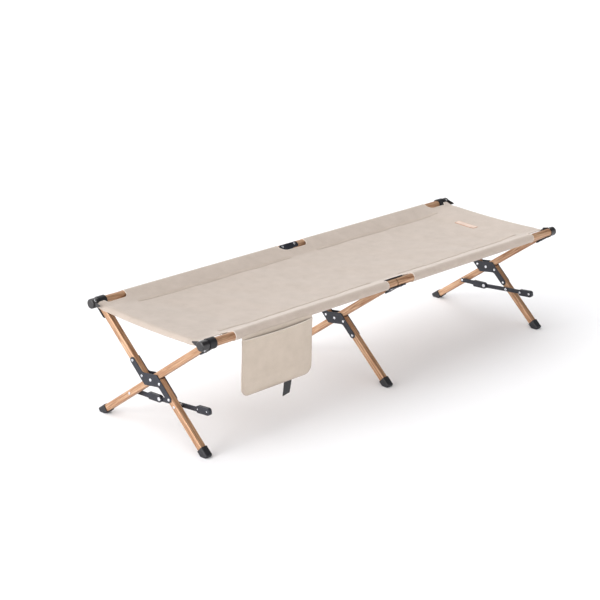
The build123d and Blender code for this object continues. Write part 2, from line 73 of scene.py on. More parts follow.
PIVOTS = {joint["name"]: joint["pos_m"] for joint in frame["joints"]}
CROSS_Z = PIVOTS["scissor_fold"][2]  # centre pin of the leg crosses

CLOTH = 1.1 * MM                     # canvas thickness
WRAP_R = RAIL_R + 0.85 * MM          # middle of the canvas round a rail
SEAM_IN, SEAM_DROP = 75 * MM, 10 * MM     # sleeve seam, inward of the rail axis and below it
SAG = 8 * MM                         # the sheet's middle below its seams
SAG_ENDS = 660 * MM                  # beyond this, each end is drawn from the sag to its own line:
END_RISE, END_DIP = 5 * MM, 9 * MM   # above the rail axis at the rails, and lower by this halfway
LEAVES_RAIL = 8 * MM                 # the cloth comes off the rail this far inward of its axis
HEM_WIDTH, WELT_WIDTH = 26 * MM, 11 * MM  # second layers at the ends and along the seams
BEAD_R = 1.5 * MM                    # rolled edge of the binding
STITCH_PITCH, THREAD_R = 5 * MM, 0.55 * MM  # drawn thicker than real thread, so that seams show
# cut edges of the sheet, inward of the rail axis: at the front and rear notches and at the corners
FRONT_NOTCH, REAR_NOTCH, CORNER_IN = 29 * MM, 35 * MM, 20.5 * MM
NOTCH_R = 27 * MM                    # round inner corners of the notches
END_NOTCH = 906 * MM                 # the end notch stops here and the corner begins
PAST_END = 1.1                       # a notch's cutter runs out to here, past the sheet's end
CUTTER_HALF = 60 * MM                # and this far above and below the rail axis
LEG_OFFSET = 27 * MM                 # split leg's halves, aside of the line from rail to foot
LEG_LEAN = math.atan2(RAIL_Z - CROSS_Z, (REAR_Y - FRONT_Y) / 2)
SPLIT_LEAN = LEG_LEAN + math.asin(LEG_OFFSET / math.hypot(RAIL_Z - CROSS_Z, (REAR_Y - FRONT_Y) / 2))


# --- materials ---
def linear(code):
    """Linear RGBA of an sRGB hex colour."""
    values = [int(code[i:i + 2], 16) / 255 for i in (1, 3, 5)]
    return (*[v / 12.92 if v <= 0.04045 else ((v + 0.055) / 1.055) ** 2.4 for v in values], 1.0)


def add(tree, kind, links=(), **settings):
    """Adds a node; settings are its properties or input values, links are (input, socket)."""
    made = tree.nodes.new(kind)
    for key, value in settings.items():
        if key.startswith("in_"):
            made.inputs[key[3:].replace("_", " ")].default_value = value
        else:
            setattr(made, key, value)
    for name, socket in links:
        tree.links.new(socket, made.inputs[name])
    return made


def start_material(name, roughness, metallic=0.0, **sockets):
    """A new material: its tree and its Principled shader."""
    made = bpy.data.materials.new(name)
    made.use_nodes = True
    shader = made.node_tree.nodes["Principled BSDF"]
    shader.inputs["Roughness"].default_value = roughness
    shader.inputs["Metallic"].default_value = metallic
    for key, value in sockets.items():
        shader.inputs[key.replace("_", " ")].default_value = value
    return made, made.node_tree, shader


def ramp(tree, socket, stops):
    """Colour ramp from (position, hex) stops."""
    made = add(tree, "ShaderNodeValToRGB", [("Fac", socket)])
    points = made.color_ramp.elements
    while len(points) < len(stops):
        points.new(0.5)
    for point, (place, code) in zip(points, stops):
        point.position, point.color = place, linear(code)
    return made.outputs["Color"]


def bump(tree, shader, height, strength, distance):
    """Relief from a height socket; distance is how deep it goes, in metres."""
    made = add(tree, "ShaderNodeBump", [("Height", height)], in_Strength=strength, in_Distance=distance)
    tree.links.new(made.outputs["Normal"], shader.inputs["Normal"])


def woven(name, base, slub, thread_mm, roughness=0.88, strength=0.35):
    """Plain-woven cloth on its own UV map: crossed threads, slubs and a faint mottle."""
    made, tree, shader = start_material(name, roughness, Sheen_Weight=0.25, Sheen_Roughness=0.5)
    uv = add(tree, "ShaderNodeTexCoord").outputs["UV"]
    waves = []
    for axis in ("X", "Y"):
        # a band repeats every 2*pi/20 of the texture's unit, so the scale follows from the thread width
        waves.append(add(tree, "ShaderNodeTexWave", [("Vector", uv)], bands_direction=axis,
                         in_Scale=math.pi / 10 / (thread_mm * MM), in_Distortion=0.6, in_Detail=1.0))
    weave = add(tree, "ShaderNodeMath", [(0, waves[0].outputs["Fac"]), (1, waves[1].outputs["Fac"])],
                operation="MULTIPLY")
    # soft patches 45 mm across, and slubs 2.4 mm long
    mottle = add(tree, "ShaderNodeTexNoise", [("Vector", uv)],
                 in_Scale=1 / (45.45 * MM), in_Detail=6.0, in_Roughness=0.62)
    grain = add(tree, "ShaderNodeTexNoise", [("Vector", uv)], in_Scale=1 / (2.381 * MM), in_Detail=3.0)
    blend = add(tree, "ShaderNodeMix", [("A", mottle.outputs["Fac"]), ("B", grain.outputs["Fac"])],
                in_Factor=0.45)
    colour = ramp(tree, blend.outputs["Result"], [(0.36, slub), (0.62, base)])
    shade = add(tree, "ShaderNodeMix", [("A", colour), ("Factor", weave.outputs["Value"])],
                data_type="RGBA", blend_type="MIX")
    # picked by type, because a Mix node has one A and B for each kind of value
    between = [socket for socket in shade.inputs if socket.type == "RGBA"]
    tree.links.new(colour, between[0])
    between[1].default_value = linear(base)
    shaded = next(socket for socket in shade.outputs if socket.type == "RGBA")
    tree.links.new(shaded, shader.inputs["Base Color"])
    bump(tree, shader, weave.outputs["Value"], strength, 0.4 * MM)
    return made


def wood_grain_tube(name, lean):
    """Anodised aluminium tube with a printed beech grain: satin, with bright edges.

    lean is how far the tube is turned about X from the Y axis; None is a rail, along X.
    """
    made, tree, shader = start_material(name, 0.34, 0.45, Coat_Weight=0.15, Coat_Roughness=0.2)
    place = add(tree, "ShaderNodeTexCoord").outputs["Object"]
    turn = add(tree, "ShaderNodeMapping", [("Vector", place)])
    turn.inputs["Rotation"].default_value = (-lean, 0, 0) if lean is not None else (0, 0, math.pi / 2)

    def streaks(wide_mm, long_mm, **settings):
        """Noise drawn out along the tube, which runs along Y after the turn."""
        drawn = add(tree, "ShaderNodeVectorMath", [(0, turn.outputs["Vector"])], operation="MULTIPLY")
        drawn.inputs[1].default_value = (1 / (wide_mm * MM), 1 / (long_mm * MM), 1 / (wide_mm * MM))
        noise = add(tree, "ShaderNodeTexNoise", [("Vector", drawn.outputs["Vector"])],
                    in_Scale=1.0, **settings)
        return noise.outputs["Fac"]

    figure = streaks(7.692, 181.8, in_Detail=5.0, in_Roughness=0.6, in_Distortion=1.4)
    pores = streaks(1.613, 71.43, in_Detail=3.0, in_Roughness=0.7)
    both = add(tree, "ShaderNodeMix", [("A", figure), ("B", pores)], in_Factor=0.35)
    colour = ramp(tree, both.outputs["Result"],
                  [(0.34, "#734E35"), (0.46, "#A57A5A"), (0.56, "#C29D7D"), (0.70, "#D8BBA0")])
    tree.links.new(colour, shader.inputs["Base Color"])
    rough = add(tree, "ShaderNodeMapRange", [("Value", pores)])
    rough.inputs["To Min"].default_value, rough.inputs["To Max"].default_value = 0.30, 0.46
    tree.links.new(rough.outputs["Result"], shader.inputs["Roughness"])
    bump(tree, shader, pores, 0.12, 0.2 * MM)
    return made


def grained(name, dark, light, roughness, grain_mm, strength, metallic=0.0, **sockets):
    """Even finish with a fine grain and 22 mm patches of wear: powder coat, nylon, rubber, zinc or hide."""
    made, tree, shader = start_material(name, roughness, metallic, **sockets)
    place = add(tree, "ShaderNodeTexCoord").outputs["Object"]
    grain = add(tree, "ShaderNodeTexNoise", [("Vector", place)],
                in_Scale=1 / (grain_mm * MM), in_Detail=3.0)
    wear = add(tree, "ShaderNodeTexNoise", [("Vector", place)],
               in_Scale=1 / (22.22 * MM), in_Detail=5.0, in_Roughness=0.6)
    colour = ramp(tree, wear.outputs["Fac"], [(0.35, dark), (0.68, light)])
    tree.links.new(colour, shader.inputs["Base Color"])
    rough = add(tree, "ShaderNodeMapRange", [("Value", wear.outputs["Fac"])])
    rough.inputs["To Min"].default_value = max(roughness - 0.08, 0.05)
    rough.inputs["To Max"].default_value = min(roughness + 0.08, 1.0)
    tree.links.new(rough.outputs["Result"], shader.inputs["Roughness"])
    bump(tree, shader, grain.outputs["Fac"], strength, 0.3 * MM)
    return made


# real threads are 0.5 mm; drawn 2.2 mm wide so that the weave shows
# warm grey sheet: the quiet, faintly mottled field that fills most of the view
CANVAS = woven("polyester_canvas", "#BAACA1", "#AA9C90", 2.2)
# the same cloth, painted a little warmer and lighter than the sheet: painted light for the front light on
# the upright pocket, so the pocket parts from the legs behind it
POCKET_CLOTH_PAINTED_LIGHT = woven("pocket_canvas_painted_light", "#C3B5A7", "#B3A596", 2.2)
# paler and finer: a thin light line along every cut edge
TAPE = woven("bias_binding", "#D6CBC1", "#C6BAAE", 1.6, 0.8)
# near black with a coarse rib: a dull strap against the smooth nylon
WEBBING = woven("black_webbing", "#1B1C20", "#101114", 2.6, 0.75, 0.7)
# slightly glossy twist, a shade off the canvas: makes seams readable close up
THREAD = grained("polyester_thread", "#B9AA98", "#D9CCBD", 0.7, 0.4, 0.3)
# the three tubes share one finish, and its grain runs along each tube
RAIL_TUBE = wood_grain_tube("wood_grain_rail", None)
STRAIGHT_TUBE = wood_grain_tube("wood_grain_straight_leg", -LEG_LEAN)
SPLIT_TUBE = wood_grain_tube("wood_grain_split_leg", SPLIT_LEAN)
# cool slate with a low sheen: lifts the flat plates off the black mouldings
POWDER = grained("powder_coated_steel", "#171922", "#22252F", 0.42, 0.9, 0.3, Specular_IOR_Level=0.45)
# matt black: the clevises read as one dark knot at each corner
NYLON = grained("moulded_nylon", "#0D0E12", "#14151A", 0.48, 0.7, 0.3, Specular_IOR_Level=0.4)
# smoother and shinier than the brackets, so a soft highlight rounds each cap; its tint is painted a shade
# lighter and warmer than the brackets, a painted reflection of the surroundings
CAP_NYLON_PAINTED_REFLECTION = grained("smooth_cap_nylon_painted_reflection", "#151416", "#1F1C1E", 0.3, 0.7, 0.15, Specular_IOR_Level=0.7)
# dull and a touch rough: ends each leg without a highlight
RUBBER = grained("foot_rubber", "#101116", "#191A21", 0.5, 1.1, 0.4)
# bright metal dots on the dark plates
ZINC = grained("zinc_rivet", "#C9CBD1", "#E6E7EA", 0.26, 0.6, 0.15, metallic=1.0)
# pale skin with a fine pebble, and a darker tan border that outlines the patch: partly the cut edge's own
# tan, partly painted shade along the patch's edge
LEATHER = grained("pale_leather", "#CDB5A6", "#DAC6B9", 0.55, 1.6, 0.4)
LEATHER_EDGE_AND_SHADE = grained("tan_leather_edge_and_painted_shade", "#A8704F", "#B98060", 0.5, 1.2, 0.3)


def paint(piece, material):
    piece.data.materials.clear()
    piece.data.materials.append(material)


def finish_for(name):
    """The material of a CAD node, by what it is."""
    if any(word in name for word in ("rivets", "pin_", "pins", "studs")):
        return ZINC
    if "foot" in name:
        return RUBBER
    if "_cap_" in name:
        # caps: nylon whose lighter, warmer tint is a painted reflection
        return CAP_NYLON_PAINTED_REFLECTION
    if "bracket" in name:
        return NYLON
    if "straight_leg" in name:
        return STRAIGHT_TUBE
    if "split_leg" in name:
        return SPLIT_TUBE
    if "_rail_" in name:
        return RAIL_TUBE
    return POWDER


for node_name, node in frame["nodes"].items():
    paint(node, finish_for(node_name))


# --- making and finishing pieces ---
def clear_selection():
    if bpy.context.object and bpy.context.object.mode != "OBJECT":
        bpy.ops.object.mode_set(mode="OBJECT")
    bpy.ops.object.select_all(action="DESELECT")


def grid(name, columns, rows):
    """A flat unit grid with that many faces each way."""
    clear_selection()
    bpy.ops.mesh.primitive_grid_add(x_subdivisions=columns, y_subdivisions=rows, size=1, calc_uvs=True)
    made = bpy.context.object
    made.name = made.data.name = name
    return made


def lay(piece, columns, rows, place):
    """Moves a unit grid's points to place(i, j) -> ((x, y, z), (u, v)), with u and v in metres."""
    mesh = piece.data
    flat = {}
    for point in mesh.vertices:
        i = round((point.co.x + 0.5) * columns)
        j = round((point.co.y + 0.5) * rows)
        where, cloth = place(i, j)
        flat[point.index] = cloth
        point.co = where
    layer = mesh.uv_layers.active.data
    for corner in mesh.loops:
        layer[corner.index].uv = flat[corner.vertex_index]
    mesh.update()


def modify(piece, kind, **settings):
    """Adds a modifier and applies it."""
    made = piece.modifiers.new(kind.lower(), kind)
    for key, value in settings.items():
        setattr(made, key, value)
    clear_selection()
    piece.select_set(True)
    bpy.context.view_layer.objects.active = piece
    bpy.ops.object.modifier_apply(modifier=made.name)


def smooth(piece, degrees=40):
    clear_selection()
    piece.select_set(True)
    bpy.context.view_layer.objects.active = piece
    bpy.ops.object.shade_smooth_by_angle(angle=math.radians(degrees))


def cut_faces(piece, unwanted):
    """Deletes the faces whose centre unwanted(centre, uv) accepts."""
    work = bmesh.new()
    work.from_mesh(piece.data)
    layer = work.loops.layers.uv.active
    doomed = []
    for face in work.faces:
        cloth = sum((c[layer].uv for c in face.loops), Vector((0, 0))) / len(face.loops)
        if unwanted(face.calc_center_median(), cloth):
            doomed.append(face)
    bmesh.ops.delete(work, geom=doomed, context="FACES")
    work.to_mesh(piece.data)
    work.free()


# --- the canvas: one sheet with a sleeve round each rail ---
def ease(value, low, high):
    """0 below low and 1 above high, with a smooth rise between."""
    t = min(max((value - low) / (high - low), 0.0), 1.0)
    return t * t * (3 - 2 * t)


def across(inward, rear):
    """Y of a place that far inward of the front or the rear rail's axis."""
    return REAR_Y - inward if rear else FRONT_Y + inward


def from_rail(y):
    """Distance inward of the nearer rail's axis."""
    return min(y - FRONT_Y, REAR_Y - y)


def side_path():
    """One side's section as (inward, up, kind), from under the seam, round the rail, to above the seam."""
    points = []
    low_seam = Vector((SEAM_IN, -SEAM_DROP - CLOTH))
    top_seam = Vector((SEAM_IN, -SEAM_DROP))
    lean = math.acos(WRAP_R / top_seam.length)
    low_turn = math.atan2(low_seam.y, low_seam.x) - lean
    top_turn = math.atan2(top_seam.y, top_seam.x) + lean
    low_touch = WRAP_R * Vector((math.cos(low_turn), math.sin(low_turn)))
    top_touch = WRAP_R * Vector((math.cos(top_turn), math.sin(top_turn)))
    for k in range(5):
        points.append((*low_seam.lerp(low_touch, k / 5), "under"))
    sweep = low_turn - (top_turn - 2 * math.pi)
    for k in range(21):
        turn = low_turn - sweep * k / 20
        points.append((WRAP_R * math.cos(turn), WRAP_R * math.sin(turn), "wrap"))
    for k in range(1, 9):
        points.append((*top_touch.lerp(top_seam, k / 8), "over"))
    return points


def section():
    """The whole section as (y, up, kind), from the front sleeve to the rear one."""
    front = [(FRONT_Y + a, up, kind) for a, up, kind in side_path()]
    rear = [(REAR_Y - a, up, kind) for a, up, kind in reversed(side_path())]
    middle = []
    low, high = front[-1][0], rear[0][0]
    for k in range(1, 36):
        t = k / 36
        middle.append((low + (high - low) * t, -SEAM_DROP - SAG * 4 * t * (1 - t), "sheet"))
    return front + middle + rear


SECTION = section()
RUN = [0.0]
for here, there in zip(SECTION, SECTION[1:]):
    RUN.append(RUN[-1] + math.hypot(there[0] - here[0], there[1] - here[1]))


def settle(x, y, up, kind):
    """Height above the rail axis once the ends are drawn flat and the cloth has its faint ripples."""
    if kind == "wrap":
        return up
    # the wrap stays on its rail, and the cloth leaves it over the way to the seam
    share = min(max(from_rail(y) - LEAVES_RAIL, 0) / (SEAM_IN - LEAVES_RAIL), 1.0)
    flat_end = END_RISE - END_DIP * (1 - ((y - MID_Y) / (MID_Y - FRONT_Y)) ** 2)
    drawn = ease(abs(x), SAG_ENDS, SHEET_END - 10 * MM)
    if kind == "under":
        top = -SEAM_DROP
        return up + (flat_end - top) * drawn * share
    height = up + (flat_end - up) * drawn * share
    calm = share * ease(SHEET_END - abs(x), 0.0, 120 * MM)
    ripple = 0.9 * math.sin(x * 21 + 2.1 * math.sin(y * 9)) + 0.6 * math.sin(x * 47 + y * 13)
    ripple += 0.7 * math.sin((abs(x) - abs(y - MID_Y) * 1.4) * 30)
    return height + ripple * MM * calm * 0.8


def turned_down(x):
    """Drop of the hemmed end below the sheet."""
    return 11 * MM * ease(abs(x), SHEET_END - 15 * MM, SHEET_END + 4 * MM)


def sheet_height(x, y):
    """Height of the top layer's middle over any point inside the seams."""
    t = (y - FRONT_Y - SEAM_IN) / (REAR_Y - FRONT_Y - 2 * SEAM_IN)
    return RAIL_Z + settle(x, y, -SEAM_DROP - SAG * 4 * t * (1 - t), "sheet") - turned_down(x)


def over_height(x, y):
    """Height of the top layer between a rail and its seam."""
    path = [p for p in side_path() if p[2] == "over"]
    up = float(np.interp(from_rail(y), [p[0] for p in path], [p[1] for p in path]))
    return RAIL_Z + settle(x, y, up, "over") - turned_down(x)


def top_height(x, y):
    """Height of the top layer's middle anywhere between the rails."""
    return sheet_height(x, y) if from_rail(y) > SEAM_IN else over_height(x, y)


def columns_along():
    """Column places along the cot, about 8 mm apart, with one at each notch's edge."""
    stops = [-SHEET_END, -SLEEVE_END, GAP_LOW, GAP_HIGH, SLEEVE_END, SHEET_END]
    places = [stops[0]]
    for low, high in zip(stops, stops[1:]):
        count = round((high - low) / (7.7 * MM))
        places += [low + (high - low) * (k + 1) / count for k in range(count)]
    return places


COLUMNS = columns_along()


def canvas_point(i, j):
    """Place and flat position of the canvas grid's point in column i and row j."""
    x = COLUMNS[i]
    y, up, kind = SECTION[j]
    return (x, y, RAIL_Z + settle(x, y, up, kind) - turned_down(x)), (x, RUN[j])


UNDER_RUNS = (RUN[5], RUN[-1] - RUN[5])  # cloth outside these runs is the sleeves' lower layer


def notch_outline(x0, x1, open_end, rear):
    """Plan of a notch beside a rail, with round inner corners; y is inward of the rail axis."""
    out = -40 * MM  # clear of the sleeve's outer side
    depth = REAR_NOTCH if rear else FRONT_NOTCH
    points = [(x0, out), (x0, depth - NOTCH_R)]
    for k in range(1, 9):
        turn = math.pi / 2 * k / 8
        points.append((x0 + NOTCH_R * (1 - math.cos(turn)), depth - NOTCH_R * (1 - math.sin(turn))))
    if open_end:
        drop = depth - CORNER_IN
        for k in range(9):
            step = (1 - math.cos(math.pi * k / 8)) / 2
            points.append((END_NOTCH - 12 * MM * (1 - k / 8), depth - drop * step))
        points += [(PAST_END, CORNER_IN), (PAST_END, out)]
    else:
        for k in range(9):
            turn = math.pi / 2 * (1 - k / 8)
            points.append((x1 - NOTCH_R * (1 - math.cos(turn)), depth - NOTCH_R * (1 - math.sin(turn))))
        points.append((x1, out))
    return points


def cutters():
    """Prisms through the canvas at the six notches."""
    work = bmesh.new()
    for rear in (False, True):
        end = notch_outline(SLEEVE_END, PAST_END, True, rear)
        middle = notch_outline(GAP_LOW, GAP_HIGH, False, rear)
        for plan in (end, middle, [(-x, y) for x, y in end]):
            ring = [work.verts.new((x, across(y, rear), RAIL_Z - CUTTER_HALF)) for x, y in plan]
            face = work.faces.new(ring)
            raised = bmesh.ops.extrude_face_region(work, geom=[face])["geom"]
            bmesh.ops.translate(work, vec=(0, 0, 2 * CUTTER_HALF),
                                verts=[v for v in raised if isinstance(v, bmesh.types.BMVert)])
    bmesh.ops.recalc_face_normals(work, faces=work.faces)
    mesh = bpy.data.meshes.new("notch_cutter")
    work.to_mesh(mesh)
    work.free()
    made = bpy.data.objects.new("notch_cutter", mesh)
    bpy.context.collection.objects.link(made)
    return made


def make_canvas():
    """The grid over the whole section, opened under the notches, thickened and cut to their outlines."""
    rows = len(SECTION) - 1
    piece = grid("canvas", len(COLUMNS) - 1, rows)
    lay(piece, len(COLUMNS) - 1, rows, canvas_point)

    def bare_below(centre, cloth):
        in_notch = GAP_LOW < centre.x < GAP_HIGH or abs(centre.x) > SLEEVE_END
        return in_notch and (cloth.y < UNDER_RUNS[0] or cloth.y > UNDER_RUNS[1])

    cut_faces(piece, bare_below)
    modify(piece, "SOLIDIFY", thickness=CLOTH, offset=0.0)
    tool = cutters()
    modify(piece, "BOOLEAN", object=tool, operation="DIFFERENCE", solver="EXACT")
    bpy.data.objects.remove(tool)
    smooth(piece, 50)
    paint(piece, CANVAS)
    return piece


def ribbon(name, route, radius, material):
    """Piping along a route: a round bead swept through its points."""
    curve = bpy.data.curves.new(name, "CURVE")
    curve.dimensions = "3D"
    line = curve.splines.new("POLY")
    line.points.add(len(route) - 1)
    for point, place in zip(line.points, route):
        point.co = (*place, 1)
    curve.bevel_depth, curve.bevel_resolution, curve.use_fill_caps = radius, 2, True
    made = bpy.data.objects.new(name, curve)
    bpy.context.collection.objects.link(made)
    clear_selection()
    made.select_set(True)
    bpy.context.view_layer.objects.active = made
    bpy.ops.object.convert(target="MESH")
    made = bpy.context.object
    smooth(made, 60)
    paint(made, material)
    return made


def join(name, parts):
    """One piece from several, under one name."""
    clear_selection()
    for part in parts:
        part.select_set(True)
    bpy.context.view_layer.objects.active = parts[0]
    bpy.ops.object.join()
    made = bpy.context.object
    made.name = made.data.name = name
    return made


def notch_edges():
    """Bias binding round the sleeve ends and along the notches."""
    path = side_path()
    round_rail = [p for p in path if p[2] != "over"]
    parts = []

    def sleeve_end(x, rear):
        """From under the seam, round the rail, to where the notch's edge starts on top."""
        reach = (REAR_NOTCH if rear else FRONT_NOTCH) - NOTCH_R
        short = [p for p in path if p[2] == "over" and p[0] < reach]
        return [(x, across(inward, rear), RAIL_Z + up) for inward, up, _ in round_rail + short]

    def on_top(x, inward, rear):
        y = across(inward, rear)
        return (x, y, over_height(x, y))

    for rear in (False, True):
        corner = [p for p in notch_outline(SLEEVE_END, PAST_END, True, rear)[2:] if p[0] < PAST_END]
        for flip in (-1, 1):
            edge = [on_top(flip * x, inward, rear) for x, inward in corner]
            route = sleeve_end(flip * SLEEVE_END, rear) + edge + [on_top(flip * SHEET_END, CORNER_IN, rear)]
            parts.append(ribbon("bead", route, BEAD_R, TAPE))
        edge = [on_top(x, inward, rear)
                for x, inward in notch_outline(GAP_LOW, GAP_HIGH, False, rear)[2:-1]]
        route = sleeve_end(GAP_LOW, rear) + edge + sleeve_end(GAP_HIGH, rear)[::-1]
        parts.append(ribbon("bead", route, BEAD_R, TAPE))
    return join("notch_binding", parts)


def end_hems():
    """Second layer of cloth under each hemmed end."""
    parts = []
    low, high = FRONT_Y + CORNER_IN + 4 * MM, REAR_Y - CORNER_IN - 4 * MM
    for flip in (-1, 1):
        piece = grid("hem", 8, 60)

        def place(i, j, flip=flip):
            x = flip * (SHEET_END - HEM_WIDTH * (1 - i / 8))
            y = low + (high - low) * j / 60
            return (x, y, top_height(x, y) - 1.5 * CLOTH), (x, y)

        lay(piece, 8, 60, place)
        modify(piece, "SOLIDIFY", thickness=CLOTH, offset=0.0)
        smooth(piece)
        paint(piece, CANVAS)
        parts.append(piece)
    return join("end_hems", parts)


def seam_welts():
    """The folded edge of each sleeve: a narrow second layer along its seam."""
    parts = []
    for rear in (False, True):
        for low, high in ((-SLEEVE_END, GAP_LOW), (GAP_HIGH, SLEEVE_END)):
            columns = round((high - low) / (8 * MM))
            piece = grid("welt", columns, 4)

            def place(i, j, low=low, high=high, columns=columns, rear=rear):
                x = low + 2 * MM + (high - low - 4 * MM) * i / columns
                y = across(SEAM_IN + 2.5 * MM - WELT_WIDTH * (1 - j / 4), rear)
                return (x, y, top_height(x, y) + CLOTH * 1.02), (x, y)

            lay(piece, columns, 4, place)
            modify(piece, "SOLIDIFY", thickness=CLOTH, offset=0.0)
            smooth(piece)
            paint(piece, CANVAS)
            parts.append(piece)
    return join("seam_welts", parts)


# --- stitching ---
def one_stitch(length, radius):
    """A short thread loop lying along X: a six-sided rod with tapered ends."""
    clear_selection()
    bpy.ops.mesh.primitive_cylinder_add(vertices=6, radius=radius, depth=length,
                                        rotation=(0, math.pi / 2, 0))
    made = bpy.context.object
    bpy.ops.object.transform_apply(location=True, rotation=True, scale=True)
    bpy.ops.object.mode_set(mode="EDIT")
    bpy.ops.mesh.select_all(action="SELECT")
    bpy.ops.mesh.subdivide(number_cuts=1)
    bpy.ops.object.mode_set(mode="OBJECT")
    for point in made.data.vertices:
        taper = 1 - 0.65 * (abs(point.co.x) / (length / 2)) ** 3
        point.co.y *= taper
        point.co.z *= taper
    return made


def stitch_rows(name, rows, pitch=STITCH_PITCH):
    """Stitches along each row of surface points, one every pitch, just above the cloth."""
    seed = one_stitch(pitch * 0.66, THREAD_R)
    shape = np.array([p.co[:] for p in seed.data.vertices])
    faces = [tuple(f.vertices) for f in seed.data.polygons]
    bpy.data.objects.remove(seed)
    points, polygons = [], []
    for row in rows:
        row = [Vector(p) for p in row]
        travelled, next_at = 0.0, pitch / 2
        for here, there in zip(row, row[1:]):
            step = (there - here).length
            while step > 0 and next_at <= travelled + step:
                at = here.lerp(there, (next_at - travelled) / step)
                way = (there - here).normalized()
                side = way.cross(Vector((0, 0, 1)))
                side = side.normalized() if side.length > 1e-3 else Vector((0, 1, 0))
                axes = np.array([way, side, way.cross(side)])
                first = len(points)
                points += [tuple(p @ axes + np.array(at)) for p in shape]
                polygons += [tuple(k + first for k in f) for f in faces]
                next_at += pitch
            travelled += step
    mesh = bpy.data.meshes.new(name)
    mesh.from_pydata(points, [], polygons)
    made = bpy.data.objects.new(name, mesh)
    bpy.context.collection.objects.link(made)
    smooth(made, 60)
    paint(made, THREAD)
    return made


def canvas_rows():
    """Double rows down the four sleeve seams, and one row across each hem."""
    lift = CLOTH / 2 + 0.2 * MM
    over_welt = lift + CLOTH
    rows = []
    for rear in (False, True):
        for back in (0.0, 5.5 * MM):
            for low, high in ((-SLEEVE_END, GAP_LOW), (GAP_HIGH, SLEEVE_END)):
                y = across(SEAM_IN - back, rear)
                along = [low + 4 * MM + (high - low - 8 * MM) * k / 120 for k in range(121)]
                rows.append([(x, y, over_height(x, y) + over_welt) for x in along])
    low, high = FRONT_Y + CORNER_IN + 6 * MM, REAR_Y - CORNER_IN - 6 * MM
    hem_seam = SHEET_END - HEM_WIDTH + 3 * MM
    for x in (-hem_seam, hem_seam):
        over = [low + (high - low) * k / 80 for k in range(81)]
        rows.append([(x, y, top_height(x, y) + lift) for y in over])
    return rows


# --- the leather patch ---
def make_patch():
    """Pale leather patch with round corners and a pressed border, on the sheet; also its seam's route."""
    middle = ((LABEL_LOW[0] + LABEL_HIGH[0]) / 2, (LABEL_LOW[1] + LABEL_HIGH[1]) / 2)
    wide, tall = LABEL_HIGH[0] - LABEL_LOW[0], LABEL_HIGH[1] - LABEL_LOW[1]
    corner, edge_and_shade_band, seam_in = 4 * MM, 2.2 * MM, 3 * MM
    columns, rows = 28, 104
    piece = grid("leather_patch", columns, rows)

    def place(i, j):
        v = (j / rows - 0.5) * tall
        end = max(abs(v) - (tall / 2 - corner), 0)
        half = wide / 2 - (corner - math.sqrt(max(corner ** 2 - end ** 2, 0)))
        u = (i / columns - 0.5) * 2 * half
        x, y = middle[0] + u, middle[1] + v
        edge = min(half - abs(u), tall / 2 - abs(v))
        groove = ease(edge, 2.6 * MM, 3.4 * MM) - ease(edge, 4.0 * MM, 5.0 * MM)
        crown = 0.7 * MM * ease(edge, 0, 2.5 * MM) - 0.35 * MM * groove
        return (x, y, sheet_height(x, y) + CLOTH / 2 + 0.6 * MM + crown), (x, y)

    lay(piece, columns, rows, place)
    modify(piece, "SOLIDIFY", thickness=1.1 * MM, offset=-1.0)
    smooth(piece, 50)
    paint(piece, LEATHER)
    piece.data.materials.append(LEATHER_EDGE_AND_SHADE)
    # border faces get the darker tan: the cut edge's own colour and painted shade along the edge
    for face in piece.data.polygons:
        u, v = abs(face.center.x - middle[0]), abs(face.center.y - middle[1])
        face.material_index = int(u > wide / 2 - edge_and_shade_band or v > tall / 2 - edge_and_shade_band)
    corners = [(middle[0] + u * (wide / 2 - seam_in), middle[1] + v * (tall / 2 - seam_in))
               for u, v in ((-1, -1), (1, -1), (1, 1), (-1, 1), (-1, -1))]
    seam = []
    for here, there in zip(corners, corners[1:]):
        for k in range(24):
            x, y = (a + (b - a) * k / 24 for a, b in zip(here, there))
            seam.append((x, y, sheet_height(x, y) + CLOTH / 2 + 1.15 * MM))
    return piece, seam


# --- the side pocket ---
POCKET_R = 30 * MM                   # round lower corners
POCKET_MID = (BAG_LOW[0] + BAG_HIGH[0]) / 2
POCKET_WIDE = BAG_HIGH[0] - BAG_LOW[0]
POCKET_BASE = BAG_LOW[2]
BACK_Y = BAG_HIGH[1]
MOUTH_Z = BAG_HIGH[2] - 4 * MM       # top edge of the front panel


def pocket_half(z):
    """Half width of the pocket at a height, with its round lower corners."""
    rise = z - POCKET_BASE
    if rise >= POCKET_R:
        return POCKET_WIDE / 2
    return POCKET_WIDE / 2 - (POCKET_R - math.sqrt(max(POCKET_R ** 2 - (POCKET_R - rise) ** 2, 0)))


def pocket_height(t, top):
    """Row heights, closer together in the round corners."""
    return POCKET_BASE + (top - POCKET_BASE) * t ** 1.35


def hang(x, z):
    """How far the pocket's cloth stands out of its plane at a place: soft folds."""
    wave = 1.1 * math.sin((x - POCKET_MID) * 24 + z * 11) + 0.8 * math.sin(z * 38 + (x - POCKET_MID) * 9)
    return 0.9 * MM * wave


def front_out(s, t):
    """The front panel's distance in front of the back one: full in the middle, slack at the mouth."""
    edge = (1 - abs(s) ** 4) * min(t * 3.0, 1.0)
    belly = 6.5 * MM * edge
    slack = 1.6 * MM * ease(t, 0.72, 1.0) * (1 - abs(s - 0.35) ** 2)
    return 1.2 * MM + belly + max(slack, 0) * edge


